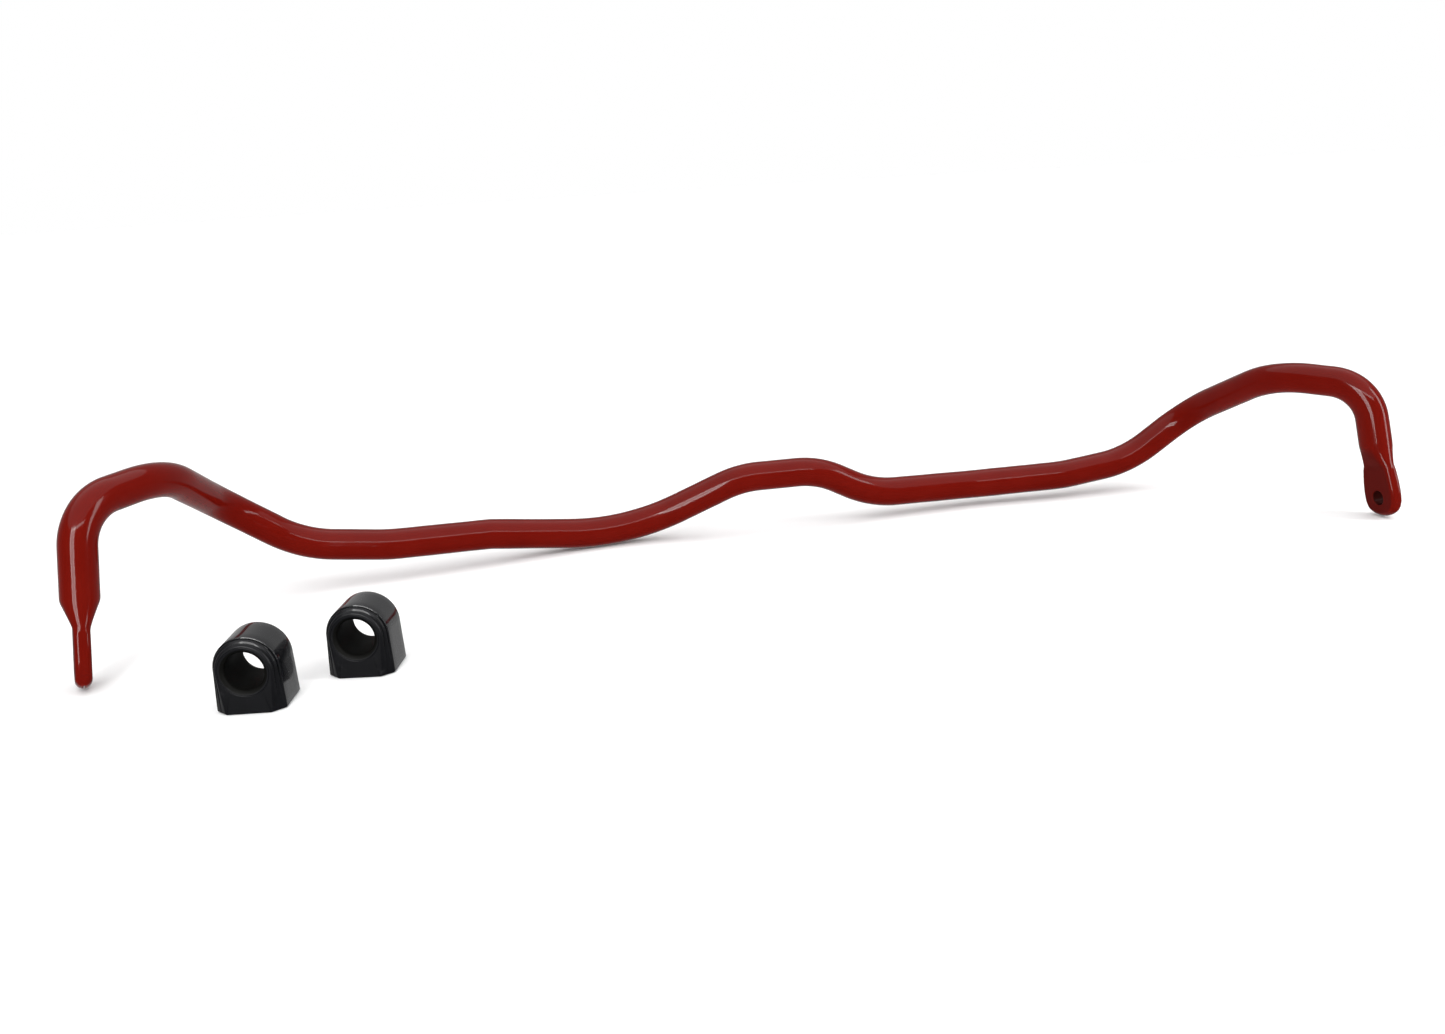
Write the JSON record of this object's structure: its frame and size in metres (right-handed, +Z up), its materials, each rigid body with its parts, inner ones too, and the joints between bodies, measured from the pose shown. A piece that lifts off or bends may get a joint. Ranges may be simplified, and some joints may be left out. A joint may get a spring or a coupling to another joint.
{
  "type": "sway bar",
  "caption": "Bent round steel bar with an off-centre hump, forward arms and flattened drilled eyes, with loose D-shaped bushes standing beside it.",
  "frame": {"origin": "on the floor, under the middle of the whole layout; the arms' mirror plane is X = 0", "axes": "+X along the bar towards its right end, -Y the way the arms point, +Z up from the floor"},
  "size_m": [0.9681, 0.2879, 0.129],
  "materials": {
    "red_powder_coat": "gloss",
    "black_polyurethane": "satin"
  },
  "bodies": {
    "bar_left": {"bar_left": "red_powder_coat"},
    "bar_right": {"bar_right": "red_powder_coat"},
    "bush_left": {"bush_left": "black_polyurethane"},
    "bush_right": {"bush_right": "black_polyurethane"}
  },
  "joints": [
    {"name": "bar_twist", "type": "hinge", "parent": "bar_left", "child": "bar_right", "pos_m": [0.0335, 0.12, 0.04605], "axis": [0.9999, 0, -0.0134], "range_deg": [-20, 20], "stiffness_Nm_per_rad": 2300},
    {"name": "bush_left_lift", "type": "slide", "parent": "bar_left", "child": "bush_left", "axis": [0, 0, 1], "range_m": [0, 0.12]},
    {"name": "bush_right_lift", "type": "slide", "parent": "bar_left", "child": "bush_right", "axis": [0, 0, 1], "range_m": [0, 0.12]}
  ]
}
